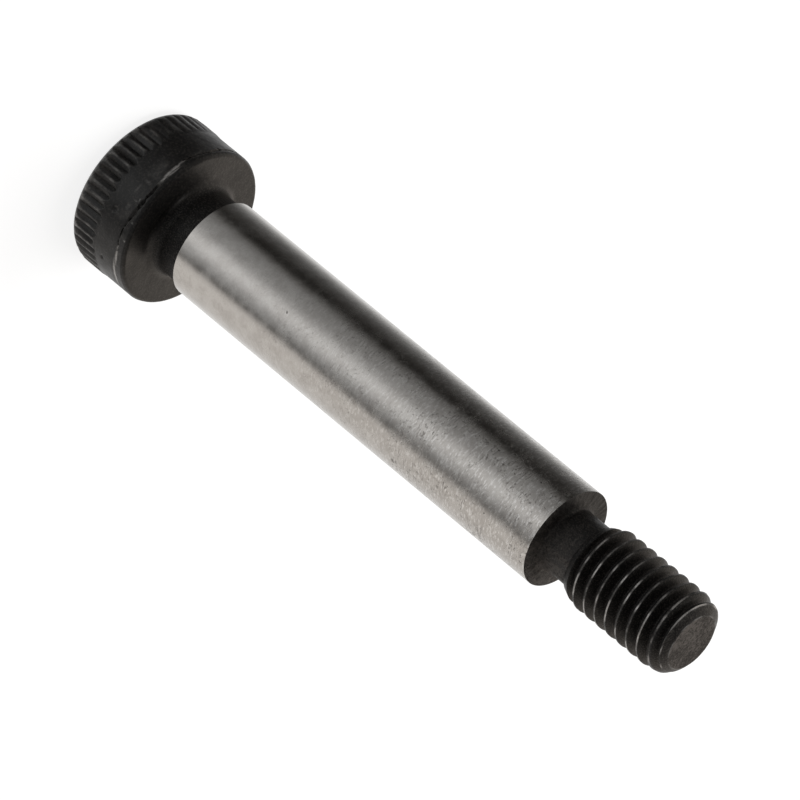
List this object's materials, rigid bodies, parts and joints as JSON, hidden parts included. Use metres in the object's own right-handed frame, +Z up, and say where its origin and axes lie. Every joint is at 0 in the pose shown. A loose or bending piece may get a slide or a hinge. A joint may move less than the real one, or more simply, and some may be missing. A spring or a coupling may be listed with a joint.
{
  "type": "shoulder bolt",
  "caption": "Hexagon-socket shoulder bolt: knurled black head, ground steel shoulder that a part can turn on, relief groove and black metric thread.",
  "frame": {"origin": "centre of the head's flat top, on which the bolt stands, because on its side it rolls", "axes": "+Z is up and is the bolt's axis, from the head to the thread's tip; +X points at a corner of the hexagon socket"},
  "size_m": [0.0098, 0.0098, 0.0442],
  "materials": {
    "steel": "ground bright on the shoulder, black oxide on the head, the necks and the thread"
  },
  "bodies": {
    "root": {"shoulder_bolt": "steel"}
  },
  "joints": []
}
